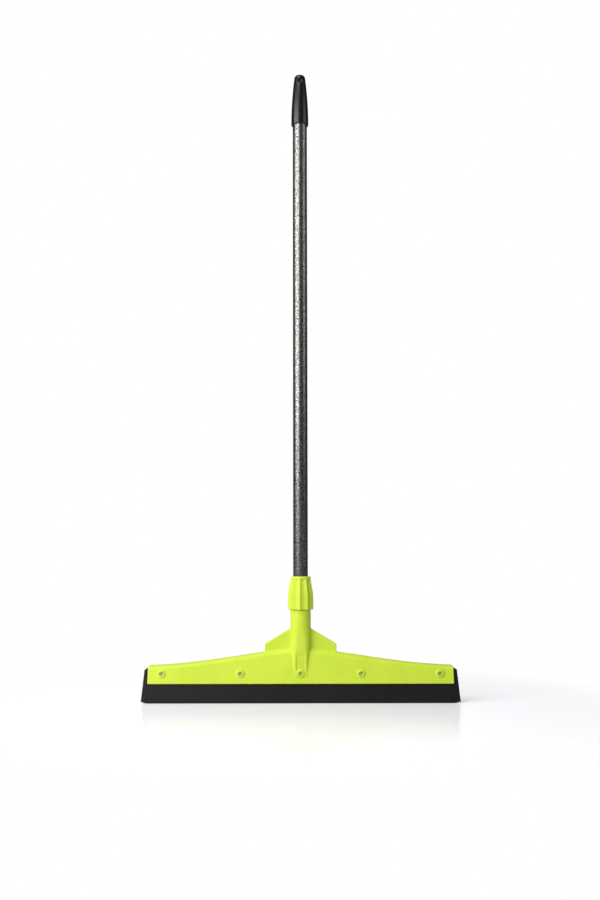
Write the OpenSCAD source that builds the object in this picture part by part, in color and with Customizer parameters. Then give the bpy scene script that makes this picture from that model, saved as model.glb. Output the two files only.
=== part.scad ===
// Floor squeegee with a moulded A-shaped head that clamps two leaning rubber lips.
// A tubular handle stands in the head's socket, held by a split collet and a twist collar.
// Units are millimetres. The floor is z = 0, x runs along the blade and -y is the front.

/* [Rubber lips] */
// Length of each lip along the floor
lip_len = 550; // [450:1:750]
// How much each end of a lip draws in from the floor to its top edge
lip_end_draw = 4.5; // [0:0.5:8]
// Thickness of each lip
lip_t = 8; // [5:0.5:10]
// Height of lip that shows below the head
lip_drop = 32.7; // [24:0.1:45]
// Height of lip held between the cheeks
lip_grip = 24.4; // [22:0.1:32]
// Bevel along the outer floor edge of each lip
lip_bevel = 3; // [1:0.5:4]
// Length of the corner cut at each end of the floor edge
lip_corner = 11; // [2:1:20]
// Corner cut at each end of the top edge
lip_nick = 1; // [0.5:0.5:4]

/* [Head shell] */
// How far each lip stands out past the end of the head, at the floor
lip_overhang = 10.5; // [8:0.5:16]
// Lean of the cheeks and lips from the vertical, in degrees
lean = 9; // [6:0.5:11]
// Thickness of the moulded walls
wall = 3; // [2.4:0.1:3.6]
// Height of the head's middle above its ends
crown_rise = 29.7; // [20:0.1:36]
// Thickness of the head's roof
head_roof = 5; // [3:0.1:6]
// Rounding along the top edges at the head's middle
crown_r = 7; // [4:0.5:9]
// Rounding along the top edges at the head's ends
end_r = 6; // [1:0.5:9]
// How much each end of the head draws in from the cheeks' lower edge to the top
head_end_draw = 0.2; // [0:0.1:3]
// Gap between the top edge of the lips and the roof of the head
lip_head_gap = 0.3; // [0.2:0.1:1]

/* [Spreader bar] */
// Width of the spreader bar at the lower edge of the cheeks
spreader_w = 16.4; // [14:0.2:20]
// How far the bar's underside lies above the lower edge of the cheeks
spreader_lift = 2; // [1:0.5:5]
// How far the bar stops short of each end of the head
spreader_inset = 2; // [1:0.5:10]

/* [Clamp bolts] */
// Distance of the inner bolts from the middle of the head
bolt_inner_x = 104.5; // [80:0.5:130]
// Distance of the outer bolts from the ends of the head
bolt_end_inset = 24; // [20:0.5:45]
// Height of the bolts above the lower edge of the cheeks
bolt_h = 17.2; // [12:0.1:18]
// Thread diameter of the bolts
bolt_d = 2.5; // [2:0.5:4]
// Diameter of the bolts' pan heads
bolt_head_d = 4.4; // [4:0.1:7]
// Height of the bolts' pan heads
bolt_head_h = 2; // [1.6:0.1:3]
// Length of the arms of the cross recess in the bolts' heads
drive_len = 2; // [1.6:0.1:3]
// Width of those arms
drive_w = 0.6; // [0.4:0.1:1]
// Depth of the cross recess
drive_deep = 0.7; // [0.4:0.1:1.2]
// Width across the flats of the nuts
nut_af = 5; // [4.5:0.1:7]
// Height of the nuts
nut_h = 2; // [1.6:0.1:3.2]
// Diameter of the round bosses under the heads and nuts
boss_d = 14; // [13:0.5:16]
// How far the bosses stand out of the cheeks
boss_h = 2.5; // [2:0.1:4]
// Bevel round the face of each boss
boss_edge = 1.6; // [0.5:0.1:2]
// Clearance round bolts, heads and nuts in their holes
bolt_clear = 0.25; // [0.15:0.05:0.4]
// Room round the bolts' heads in their pockets
head_room = 1.2; // [0.3:0.1:1.4]
// How far the bolts' heads lie below the faces of their bosses
head_sink = 1.6; // [0.2:0.1:1.8]
// How far the nuts lie below the faces of their bosses
nut_sink = 0.3; // [0.1:0.1:0.6]
// How far the bolts' tips stand out of the nuts
tip_proud = 0.2; // [0:0.1:0.5]
// Clearance between the bolts and the nuts' threads
nut_clear = 0.05; // [0.02:0.01:0.1]

/* [Gusset] */
// Length of the gusset along the head
gusset_len = 125; // [100:1:150]
// Height of the gusset's upright ends above the head's middle
gusset_side_h = 7.5; // [4:0.5:14]
// Height above the head's middle at which the gusset meets the neck
gusset_neck_h = 36; // [28:0.5:46]
// Thickness of the gusset at the head's middle
gusset_t = 7; // [5:0.5:12]
// Draft of the gusset's faces, in degrees
gusset_draft = 1.5; // [0.5:0.5:3]

/* [Neck and tongue] */
// Diameter of the neck under the collar
neck_d = 35.5; // [33:0.5:38]
// Height of the neck from the head's middle to its shoulder
neck_h = 66.5; // [55:0.5:90]
// Depth of the socket's floor below the head's middle
socket_sink = 2.5; // [0:0.5:4]
// Width of the tongue in which the neck runs out on each cheek, at its foot
tongue_w = 25; // [22:0.2:28]
// How square the tongue's section is at its foot, where 0 is round
tongue_square = 4; // [0:0.5:5]
// Distance of the tongue's foot below the middle bolt
tongue_foot = 6; // [5:0.5:8]
// Width of the shallow recess down the face of the tongue
recess_w = 15.6; // [14.5:0.2:17]
// Depth of that recess at its lower end
recess_deep = 2; // [1.2:0.1:2.4]
// Depth of that recess where it starts to fade out
recess_top = 1.2; // [0.4:0.1:1.6]
// Length over which the recess fades out below the head's roof
recess_fade = 6; // [3:0.5:12]

/* [Socket thread] */
// Lead of the thread between the neck and the collar
thread_pitch = 4; // [3.5:0.5:5]
// Height of the thread ridge above its root
thread_deep = 1.2; // [0.8:0.1:1.4]
// Length of the threaded part of the neck
thread_len = 25.5; // [22:0.5:27]
// Wall of the socket under the thread
thread_wall = 2.75; // [2.5:0.05:3.2]
// Gap between the two threads
thread_clear = 0.3; // [0.25:0.05:0.4]
// Length of the plain rim above the thread
rim_len = 4; // [3:0.5:6]
// How deep the foot of a thread ridge is rooted in its wall
thread_bite = 0.4; // [0.3:0.1:0.6]

/* [Handle] */
// Outer diameter of the handle tube
tube_d = 26; // [24:0.1:27]
// Wall of the handle tube
tube_wall = 0.8; // [0.5:0.1:1.2]
// Length of the handle tube
tube_len = 974; // [700:1:1500]
// Clearance round the tube in its socket and collet
tube_clear = 0.15; // [0.1:0.05:0.25]
// Thickness of the foot plug's flange
plug_flange = 3; // [2:0.5:5]
// Length of the foot plug inside the tube
plug_len = 20; // [12:1:40]
// Gap between the foot plug and the socket's floor
foot_gap = 0.2; // [0.1:0.1:0.5]
// Clearance of the plugs inside the tube
plug_clear = 0.1; // [0.05:0.05:0.3]
// How much the plugs' ends taper in
plug_taper = 0.3; // [0.1:0.1:0.6]

/* [Collet and collar] */
// Length of the collar
collar_len = 57.4; // [54:0.2:64]
// Diameter over the ridges of the collar's grip
collar_d = 46.2; // [45:0.2:49]
// Diameter of the collar's top rim
collar_top_d = 34.6; // [34:0.2:38]
// Length of the grip below its taper
collar_straight = 25.5; // [18:0.5:28]
// Number of flutes round the collar
collar_flutes = 10; // [8:1:16]
// Depth of the flutes
flute_deep = 2.6; // [0.6:0.1:2.8]
// Turn of the first ridge from the right-hand side, in degrees
ridge_angle = -93.5; // [-108:0.5:-72]
// Half length of the bend between the straight grip and its taper
collar_bend = 5; // [2:0.5:8]
// Height of the plain rim above the flutes
collar_rim = 3.5; // [2:0.5:5]
// Bevel along the collar's lower edge
collar_edge = 0.8; // [0.6:0.1:1.6]
// Height of the snap ridge that keeps the collet in the collar
snap_h = 1.4; // [1:0.1:2]
// Gap between the collar and the neck's shoulder
collar_gap = 0.4; // [0.4:0.1:1.2]
// Thickness of the collar's top wall, above the collet
collar_roof = 12.4; // [10:0.2:14]
// Height of the collet's flange
flange_h = 6; // [4:0.2:7]
// How far the collet's flange stands out of its shank
flange_lip = 0.9; // [0.7:0.1:1.1]
// Wall of the collet at the rim of the socket
collet_wall = 1.65; // [1.5:0.05:1.8]
// Half angle of the collet's nose, in degrees
collet_taper = 4.5; // [3:0.5:5]
// Length of the collet's nose inside the socket
nose_len = 11; // [8:0.5:12]
// Clearance between the collet and what is round it
collet_clear = 0.2; // [0.15:0.05:0.3]
// Width of the slots that part the collet
slot_w = 1.6; // [1:0.1:2.4]
// Number of slots in the collet
slot_count = 6; // [4:1:8]

/* [End cap] */
// Length of the end cap
cap_len = 95.9; // [85:0.1:110]
// Diameter of the end cap at its rim
cap_d = 31.4; // [30:0.1:34]
// Diameter of the end cap below its rounded tip
cap_tip_d = 20.1; // [18:0.1:24]
// Length of tube that the cap's skirt covers
cap_grip = 25; // [18:1:30]
// Length of the cap's spigot inside the tube, below the skirt
cap_spigot = 15; // [5:1:30]
// Wall of the cap's spigot
spigot_wall = 2.4; // [1.6:0.1:3]
// Rounding of the cap's tip
cap_tip_r = 5; // [3:0.5:6]
// Bevel along the cap's rim
cap_edge = 0.8; // [0.3:0.1:1.2]
// Diameter of the hanging hole
hang_d = 8; // [6:0.5:9]
// Distance of the hanging hole's axis below the tip
hang_drop = 14; // [12:0.5:18]
// Width of the flare round each mouth of the hanging hole
hang_flare = 2.4; // [0.5:0.1:3]

/* [Hidden] */
$fn = 72;
// How far cuts run past the faces that they open
cut = 1;

// Heights of the joints between pieces, built up from the floor
cheek_z = lip_drop;
lip_top_z = cheek_z + lip_grip;
channel_top_z = lip_top_z + lip_head_gap;
end_top_z = channel_top_z + head_roof;
mid_top_z = end_top_z + crown_rise;
bolt_z = cheek_z + bolt_h;
socket_z = mid_top_z - socket_sink;
tongue_z = bolt_z - tongue_foot;
neck_round_z = mid_top_z + gusset_neck_h;
shoulder_z = mid_top_z + neck_h;
thread_top_z = shoulder_z + thread_len;
rim_z = thread_top_z + rim_len;
collar_z = shoulder_z + collar_gap;
collar_top_z = collar_z + collar_len;
collar_seat_z = collar_top_z - collar_roof;
plug_z = socket_z + foot_gap;
tube_z = plug_z + plug_flange;
tube_top_z = tube_z + tube_len;
cap_z = tube_top_z - cap_grip;

// Lengths and radii that several pieces share
head_len = lip_len - 2 * lip_overhang;
bolt_outer_x = head_len / 2 - bolt_end_inset;
bolt_xs = [-bolt_outer_x, -bolt_inner_x, 0, bolt_inner_x, bolt_outer_x];
tube_r = tube_d / 2;
tube_in_r = tube_r - tube_wall;
socket_r = tube_r + tube_clear;
thread_root_r = socket_r + thread_wall;
thread_crest_r = thread_root_r + thread_deep;
collar_bore_r = thread_crest_r + thread_clear;
block_w = neck_d + 2 * wall;
shank_r = socket_r + collet_wall;
flange_r = shank_r + flange_lip;
flange_z = collar_seat_z - collet_clear - flange_h;

// Half depths of the layers at height z: the spreader bar, a lip and a cheek, from the inside out
function layer(t) = t / cos(lean);
function lip_in_y(z) = spreader_w / 2 - (z - cheek_z) * tan(lean);
function lip_out_y(z) = lip_in_y(z) + layer(lip_t);
function cheek_y(z) = lip_out_y(z) + layer(wall);

// Length that reaches right through the head, and the seats of the bolts' heads and nuts
through = 4 * cheek_y(0);
boss_y = cheek_y(bolt_z) + boss_h;
head_seat_y = boss_y - head_sink - bolt_head_h;
nut_seat_y = boss_y - nut_sink - nut_h;

// Shares of the pitch that a thread ridge takes at its root and crest, and of its height at its two ends
ridge_root = 0.55;
ridge_crest = 0.3;
ridge_start = 0.2;

// Height of the head's top at x: a sweep from the ends to the middle, part straight slope and part S-curve
crown_slope = 0.4;
crown_gather = 1.2;
function top_z(x) =
    let (u = 1 - abs(x) / (head_len / 2), s = pow(max(0, u), crown_gather))
    end_top_z + crown_rise * (crown_slope * u + (1 - crown_slope) * (3 - 2 * s) * s * s);

// A prism along x from a list of [y, z] points
module prism_x(points, length) {
    rotate([90, 0, 90]) linear_extrude(length, center = true) polygon(points);
}

// A prism along y from a list of [x, z] points
module prism_y(points, length) {
    rotate([90, 0, 0]) linear_extrude(length, center = true) polygon(points);
}

// A rod along y, centred at y, through x and z
module rod_y(x, z, r, length, y = 0) {
    translate([x, y, z]) rotate([90, 0, 0]) cylinder(r = r, h = length, center = true);
}

// A closed skin over a list of rings that all have the same number of points, with a fan over each end
function middle(ring) = [for (k = [0:2]) [for (p = ring) p[k]] * [for (p = ring) 1] / len(ring)];

module skin(rings) {
    n = len(rings[0]);
    last = len(rings) - 1;
    first_mid = (last + 1) * n;
    sides = [for (i = [0:last - 1], j = [0:n - 1], half = [0, 1])
        let (a = i * n + j, b = i * n + (j + 1) % n)
        half == 0 ? [a, b + n, b] : [a, a + n, b + n]];
    first_fan = [for (j = [0:n - 1]) [j, (j + 1) % n, first_mid]];
    last_fan = [for (j = [0:n - 1]) [last * n + (j + 1) % n, last * n + j, first_mid + 1]];
    polyhedron(concat([for (ring = rings, p = ring) p], [middle(rings[0]), middle(rings[last])]),
        concat(sides, first_fan, last_fan));
}

// A layer between two half depths, leaning the same way on the front and the back
function wedge(low_y, low_z, high_y, high_z) =
    [[-low_y, low_z], [low_y, low_z], [high_y, high_z], [-high_y, high_z]];

// How far the ends of the head lie inside their length at height z
function drawn_in(z) = head_end_draw * (z - cheek_z) / (end_top_z - cheek_z);

// Rounding of the head's top edges at x, which grows with the height of the top
function round_r(x) = end_r + (crown_r - end_r) * (top_z(x) - end_top_z) / crown_rise;

// Rounded section of the head at x, as points in space
function shell_ring(x, steps = 6) =
    let (r = round_r(x), zc = top_z(x) - r, yc = cheek_y(zc) - layer(r))
    let (arc = [for (i = [0:steps]) let (a = lean + (90 - lean) * i / steps)
        [yc + r * cos(a), zc + r * sin(a)]])
    let (half = [for (p = concat([[cheek_y(cheek_z), cheek_z]], arc))
        [x - drawn_in(p[1]) * x / (head_len / 2), p[0], p[1]]])
    concat(half, [for (i = [len(half) - 1:-1:0]) [half[i][0], -half[i][1], half[i][2]]]);

module shell_outside(steps = 24) {
    skin([for (i = [0:steps]) shell_ring(head_len * (i / steps - 0.5))]);
}

// Hollow between the cheeks: the lips' channel, and the space above it on both sides of the neck
module shell_inside(steps = 12) {
    low_z = cheek_z - cut;
    half = head_len / 2 + cut;
    near = block_w / 2;
    roof = [for (i = [0:steps]) let (x = near + (half - near) * i / steps) [x, top_z(x) - head_roof]];
    right = concat([[half, low_z]], [for (i = [steps:-1:0]) roof[i]], [[near, channel_top_z]]);
    left = [for (i = [len(right) - 1:-1:0]) [-right[i][0], right[i][1]]];
    intersection() {
        prism_x(wedge(lip_out_y(low_z), low_z, lip_out_y(mid_top_z), mid_top_z), 2 * (half + cut));
        prism_y(concat(right, left), through);
    }
}

// Web across the head that stiffens the neck
module gusset() {
    side_z = mid_top_z + gusset_side_h;
    foot_z = mid_top_z - crown_rise / 2;
    function face_y(z) = gusset_t / 2 - (z - mid_top_z) * tan(gusset_draft);
    intersection() {
        prism_x(wedge(face_y(foot_z), foot_z, face_y(neck_round_z), neck_round_z), gusset_len + cut);
        prism_y([[-gusset_len / 2, foot_z], [gusset_len / 2, foot_z], [gusset_len / 2, side_z],
            [neck_d / 2 - wall, neck_round_z], [wall - neck_d / 2, neck_round_z],
            [-gusset_len / 2, side_z]], through);
    }
}

// Section of the neck at height z: round above the gusset, and drawn in below it to a squarer tongue
function neck_ring(z, steps = 64) =
    let (t = max(0, (neck_round_z - z) / (neck_round_z - tongue_z)))
    let (half_w = neck_d / 2 - (neck_d - tongue_w) / 2 * t, power = 2 / (2 + tongue_square * t))
    [for (i = [0:steps - 1]) let (c = cos(360 * i / steps), s = sin(360 * i / steps))
        [half_w * sign(c) * pow(abs(c), power), neck_d / 2 * sign(s) * pow(abs(s), power), z]];

module neck(bands = 14) {
    skin(concat([for (i = [0:bands]) neck_ring(tongue_z + (neck_round_z - tongue_z) * i / bands)],
        [neck_ring(shoulder_z)]));
    translate([0, 0, shoulder_z - cut]) cylinder(r = thread_root_r, h = rim_z - shoulder_z + cut);
    thread_ridge(thread_root_r - thread_bite, thread_crest_r, shoulder_z + thread_pitch / 2,
        thread_len - thread_pitch);
}

// Shallow recess down the front of the tongue, which fades out at the head's roof
module tongue_recess() {
    front_y = -neck_d / 2;
    low_z = tongue_z - cut;
    fade_z = mid_top_z - head_roof;
    prism_x([[front_y - cut, low_z], [front_y + recess_deep, low_z], [front_y + recess_deep, bolt_z],
        [front_y + recess_top, fade_z - recess_fade], [front_y, fade_z], [front_y - cut, fade_z]], recess_w);
}

// Helical ridge of one thread, from its root to its crest, that rises by rise from z and fades at both ends
module thread_ridge(root_r, crest_r, z, rise, steps = 24) {
    count = floor(steps * rise / thread_pitch);
    root_half = ridge_root * thread_pitch / 2;
    crest_half = ridge_crest * thread_pitch / 2;
    skin([for (i = [0:count])
        let (a = 360 * i / steps, h = z + rise * i / count)
        let (fade = min(1, i / (steps / 4), (count - i) / (steps / 4)))
        let (r = root_r + (crest_r - root_r) * (ridge_start + (1 - ridge_start) * fade))
        let (order = crest_r > root_r ? [3, 2, 1, 0] : [0, 1, 2, 3])
        let (ring = [[root_r, -root_half], [r, -crest_half], [r, crest_half], [root_r, root_half]])
        [for (k = order) [ring[k][0] * cos(a), ring[k][0] * sin(a), h + ring[k][1]]]]);
}

// Bore of the socket, with the tapered mouth that the collet's nose closes in
module socket_bore() {
    mouth_r = shank_r + collet_clear;
    mouth_z = rim_z - nose_len - cut;
    translate([0, 0, socket_z]) cylinder(r = socket_r, h = rim_z - socket_z + cut);
    translate([0, 0, mouth_z])
        cylinder(r1 = mouth_r - (rim_z - mouth_z) * tan(collet_taper), r2 = mouth_r, h = rim_z - mouth_z);
}

module bosses() {
    root_y = lip_out_y(bolt_z);
    r = boss_d / 2;
    for (x = bolt_xs, turn = [90, -90]) translate([x, 0, bolt_z]) rotate([turn, 0, 0]) rotate_extrude()
        polygon([[0, root_y], [r, root_y], [r, boss_y - boss_edge], [r - boss_edge, boss_y], [0, boss_y]]);
}

module bolt_holes() {
    deep = boss_h + 2 * wall;
    for (x = bolt_xs) {
        rod_y(x, bolt_z, bolt_d / 2 + bolt_clear, through);
        rod_y(x, bolt_z, bolt_head_d / 2 + head_room, deep, -head_seat_y - deep / 2);
        translate([x, nut_seat_y + deep / 2, bolt_z]) rotate([90, 0, 0])
            cylinder(d = (nut_af + 2 * bolt_clear) / cos(30), h = deep, center = true, $fn = 6);
    }
}

module head_shell() {
    color("#cfe64b") difference() {
        union() {
            shell_outside();
            gusset();
            difference() {
                neck();
                tongue_recess();
                mirror([0, 1, 0]) tongue_recess();
            }
            bosses();
        }
        shell_inside();
        socket_bore();
        bolt_holes();
    }
}

module spreader_bar() {
    low_z = cheek_z + spreader_lift;
    color("#b9cc45") difference() {
        prism_x(wedge(lip_in_y(low_z), low_z, lip_in_y(lip_top_z), lip_top_z),
            head_len - 2 * spreader_inset);
        for (x = bolt_xs) rod_y(x, bolt_z, bolt_d / 2 + bolt_clear, through);
    }
}

// Outline of a lip seen from the front, with drawn-in ends and cut floor corners
function lip_outline() =
    let (half = lip_len / 2, top_half = half - lip_end_draw)
    [[-half + lip_corner, 0], [half - lip_corner, 0], [half, lip_bevel], [top_half, lip_top_z - lip_nick],
        [top_half - lip_nick, lip_top_z], [-top_half + lip_nick, lip_top_z],
        [-top_half, lip_top_z - lip_nick], [-half, lip_bevel]];

module lip(side) {
    out_y = lip_out_y(lip_bevel);
    color("#242424") difference() {
        intersection() {
            prism_x([for (p = [[lip_in_y(0), 0], [out_y - lip_bevel, 0], [out_y, lip_bevel],
                [lip_out_y(lip_top_z), lip_top_z], [lip_in_y(lip_top_z), lip_top_z]]) [side * p[0], p[1]]],
                lip_len + cut);
            prism_y(lip_outline(), through);
        }
        for (x = bolt_xs) rod_y(x, bolt_z, bolt_d / 2 + bolt_clear, through);
    }
}

module front_lip() lip(-1);

module rear_lip() lip(1);

// Pan-head bolt along y, its head at the front with a cross recess
module clamp_bolt(x) {
    r = bolt_d / 2;
    bevel = 0.2 * r;
    head_r = bolt_head_d / 2;
    dome_h = 0.45 * bolt_head_h;
    tip = -(head_seat_y + nut_seat_y + nut_h + tip_proud);
    dome = [for (a = [0:15:90]) [head_r * (0.6 + 0.4 * cos(a)), bolt_head_h - dome_h * (1 - sin(a))]];
    difference() {
        translate([x, -head_seat_y, bolt_z]) rotate([90, 0, 0]) rotate_extrude()
            polygon(concat([[0, tip], [r - bevel, tip], [r, tip + bevel], [r, 0], [head_r, 0]], dome,
                [[0, bolt_head_h]]));
        for (turn = [45, 135]) translate([x, -head_seat_y - bolt_head_h, bolt_z]) rotate([0, turn, 0])
            cube([drive_len, 2 * drive_deep, drive_w], center = true);
    }
}

module clamp_bolts() {
    color("#b8b9b6") for (x = bolt_xs) clamp_bolt(x);
}

module clamp_nuts() {
    color("#b8b9b6") for (x = bolt_xs) difference() {
        translate([x, nut_seat_y + nut_h / 2, bolt_z]) rotate([90, 0, 0])
            cylinder(d = nut_af / cos(30), h = nut_h, center = true, $fn = 6);
        rod_y(x, bolt_z, bolt_d / 2 + nut_clear, 3 * nut_h, nut_seat_y);
    }
}

// Split sleeve that the collar draws down into the socket's mouth, parted right through by its first slot
module collet() {
    nose_z = rim_z - nose_len;
    nose_r = shank_r - nose_len * tan(collet_taper);
    whole_h = flange_z + flange_h - nose_z + 2 * cut;
    slot_h = flange_z - rim_z + nose_len - slot_w;
    color("#3a3c3a") difference() {
        union() {
            translate([0, 0, nose_z]) cylinder(r1 = nose_r, r2 = shank_r, h = nose_len);
            translate([0, 0, rim_z]) cylinder(r = shank_r, h = flange_z - rim_z);
            translate([0, 0, flange_z]) cylinder(r = flange_r, h = flange_h);
        }
        translate([0, 0, nose_z - cut]) cylinder(r = socket_r, h = whole_h);
        for (i = [0:slot_count - 1]) rotate(360 * i / slot_count) translate([0, -slot_w / 2, nose_z - cut])
            cube([2 * flange_r, slot_w, i == 0 ? whole_h : slot_h]);
    }
}

// Radius over the ridges of the collar's grip at height h: straight, then eased over a bend into a taper
function grip_r(h) =
    let (past = h - collar_straight)
    let (eased = pow(past + collar_bend, 2) / (4 * collar_bend))
    let (run = past < -collar_bend ? 0 : past > collar_bend ? past : eased)
    collar_d / 2 - (collar_d - collar_top_d) / 2 * run / (collar_len - collar_straight);

// Depth of the flutes at height h, which run out just below the plain top rim
function flute_at(h) = flute_deep * max(0, min(1, (collar_len - collar_rim - h) / collar_rim));

// Ring of the fluted grip at height h, with one ridge a few degrees off the front
function grip_ring(h, r, steps = 6) =
    [for (i = [0:collar_flutes * steps - 1])
        let (a = 360 * i / (collar_flutes * steps) + ridge_angle)
        let (dip = flute_at(h) * abs(sin(180 * i / steps)))
        [(r - dip) * cos(a), (r - dip) * sin(a), collar_z + h]];

// Outside of the collar, bevelled along its lower and its upper edge
module collar_grip(bands = 8) {
    flute_top = collar_len - collar_rim;
    bend_h = collar_straight - collar_bend;
    top_edge = collar_edge / 2;
    heights = concat([collar_edge],
        [for (k = [0:bands]) bend_h + (flute_top - collar_rim - bend_h) * k / bands],
        [flute_top, collar_len - top_edge]);
    skin(concat([grip_ring(0, grip_r(0) - collar_edge)],
        [for (h = heights) grip_ring(h, grip_r(h))],
        [grip_ring(collar_len, grip_r(collar_len) - top_edge)]));
}

module collar() {
    snap_z = flange_z - collet_clear;
    bore_h = snap_z - snap_h - collar_z;
    color("#cbe04a") difference() {
        union() {
            difference() {
                collar_grip();
                translate([0, 0, collar_z - cut]) cylinder(r = collar_bore_r, h = bore_h + cut);
            }
            thread_ridge(collar_bore_r + thread_bite, thread_root_r + thread_clear,
                shoulder_z + thread_pitch, thread_len - 1.5 * thread_pitch);
        }
        translate([0, 0, collar_z]) cylinder(r = shank_r + collet_clear, h = collar_seat_z - collar_z);
        translate([0, 0, snap_z]) cylinder(r = flange_r + collet_clear, h = collar_seat_z - snap_z);
        translate([0, 0, collar_seat_z - cut])
            cylinder(r = socket_r + collet_clear, h = collar_roof + 2 * cut);
    }
}

module handle_tube() {
    color("#5b5a58") translate([0, 0, tube_z]) difference() {
        cylinder(r = tube_r, h = tube_len);
        translate([0, 0, -cut]) cylinder(r = tube_in_r, h = tube_len + 2 * cut);
    }
}

module foot_plug() {
    spigot_r = tube_in_r - plug_clear;
    color("#1d1d1d") difference() {
        union() {
            translate([0, 0, plug_z]) cylinder(r = tube_r, h = plug_flange);
            translate([0, 0, tube_z]) cylinder(r1 = spigot_r, r2 = spigot_r - plug_taper, h = plug_len);
        }
        translate([0, 0, tube_z]) cylinder(r = spigot_r - spigot_wall, h = plug_len + cut);
    }
}

// Outside radius of the end cap, a parabola from its rim (0) to the start of its tip (1)
function cap_r(t) = cap_d / 2 - (cap_d - cap_tip_d) / 2 * t * t;

// Hanging hole through the cap along y, flared at both mouths
module hanging_hole() {
    mouth = cap_r((cap_len - hang_drop) / (cap_len - cap_tip_r)) - hang_flare;
    translate([0, 0, cap_len - hang_drop]) rotate([90, 0, 0]) {
        cylinder(d = hang_d, h = 2 * cap_d, center = true);
        for (side = [0, 180]) rotate([0, side, 0]) translate([0, 0, mouth])
            cylinder(d1 = hang_d, d2 = hang_d + 6 * hang_flare, h = 3 * hang_flare);
    }
}

module end_cap(bands = 12) {
    body_h = cap_len - cap_tip_r;
    flat_r = cap_tip_d / 2 - cap_tip_r;
    spigot_r = tube_in_r - plug_clear;
    core_r = spigot_r - spigot_wall;
    core_h = cap_len - 2 * hang_drop - cap_grip;
    rim = [[0, 0], [cap_d / 2 - cap_edge, 0], [cap_d / 2, cap_edge]];
    flank = [for (i = [1:bands]) [cap_r(i / bands), body_h * i / bands]];
    tip = [for (a = [15:15:90]) [flat_r + cap_tip_r * cos(a), body_h + cap_tip_r * sin(a)]];
    color("#262524") translate([0, 0, cap_z]) difference() {
        union() {
            rotate_extrude() polygon(concat(rim, flank, tip, [[0, cap_len]]));
            translate([0, 0, -cap_spigot])
                cylinder(r1 = spigot_r - plug_taper, r2 = spigot_r, h = cap_spigot + cut);
        }
        difference() {
            translate([0, 0, -cut]) cylinder(r = tube_r + plug_clear, h = cap_grip + cut);
            translate([0, 0, -2 * cut]) cylinder(r = spigot_r, h = cap_grip + 3 * cut);
        }
        translate([0, 0, -cap_spigot - cut]) cylinder(r = core_r, h = cap_spigot + cap_grip + 2 * cut);
        translate([0, 0, cap_grip]) cylinder(r1 = core_r, r2 = core_r / 2, h = core_h);
        hanging_hole();
    }
}

head_shell();
spreader_bar();
front_lip();
rear_lip();
clamp_bolts();
clamp_nuts();
collet();
collar();
handle_tube();
foot_plug();
end_cap();
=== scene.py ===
import math

import bmesh
import bpy
import numpy as np
import openvdb
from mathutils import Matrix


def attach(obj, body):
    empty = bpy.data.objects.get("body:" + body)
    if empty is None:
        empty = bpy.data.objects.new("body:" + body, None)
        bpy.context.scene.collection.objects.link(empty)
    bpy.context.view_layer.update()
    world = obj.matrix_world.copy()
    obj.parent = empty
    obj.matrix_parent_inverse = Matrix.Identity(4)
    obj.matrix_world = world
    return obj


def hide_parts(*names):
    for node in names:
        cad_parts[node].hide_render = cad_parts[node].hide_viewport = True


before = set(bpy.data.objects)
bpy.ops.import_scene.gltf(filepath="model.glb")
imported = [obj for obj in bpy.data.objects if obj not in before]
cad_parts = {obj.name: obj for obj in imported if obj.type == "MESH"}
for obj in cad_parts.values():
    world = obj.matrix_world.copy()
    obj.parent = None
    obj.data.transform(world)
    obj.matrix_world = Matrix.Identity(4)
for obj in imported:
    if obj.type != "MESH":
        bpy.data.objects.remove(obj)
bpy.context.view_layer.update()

# SPREADER BAR: the wedge between the two rubber lips that the clamp bolts squeeze them against.
# It is moulded in the same lime polypropylene as the head, and only its underside and ends show.
MM = 0.001
SAME_CORNER = 0.002 * MM           # corners closer than this are one
SAME_FACE = math.radians(0.5)      # facets within this angle are one face
ROUNDED_EDGE = math.radians(35)    # edges sharper than this are rounded
BAR_EDGE = 0.6


def srgb(code):
    """Linear colour of an sRGB hex value."""
    parts = [int(code[i:i + 2], 16) / 255 for i in (1, 3, 5)]
    return (*[c / 12.92 if c <= 0.04045 else ((c + 0.055) / 1.055) ** 2.4 for c in parts], 1)


def add_node(owner, kind, settings, links=None):
    """Adds a shader node to a material or a world, with its settings and its inputs' links."""
    node = owner.node_tree.nodes.new("ShaderNode" + kind)
    for key, value in settings.items():
        if key == "stops":
            ramp = node.color_ramp.elements
            for place, tone in value[1:-1]:
                ramp.new(place).color = tone
            for element, (place, tone) in zip((ramp[0], ramp[-1]), (value[0], value[-1])):
                element.position, element.color = place, tone
        elif isinstance(key, int) or key in node.inputs:
            node.inputs[key].default_value = value
        else:
            setattr(node, key, value)
    for key, source in (links or {}).items():
        owner.node_tree.links.new(source, node.inputs[key])
    return node


def new_material(name):
    """An empty node material."""
    material = bpy.data.materials.new(name)
    material.use_nodes = True
    material.node_tree.nodes.clear()
    return material


def per_metre(size_mm):
    """Texture scale at which one cell of a pattern is size_mm across."""
    return 1000 / size_mm


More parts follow.
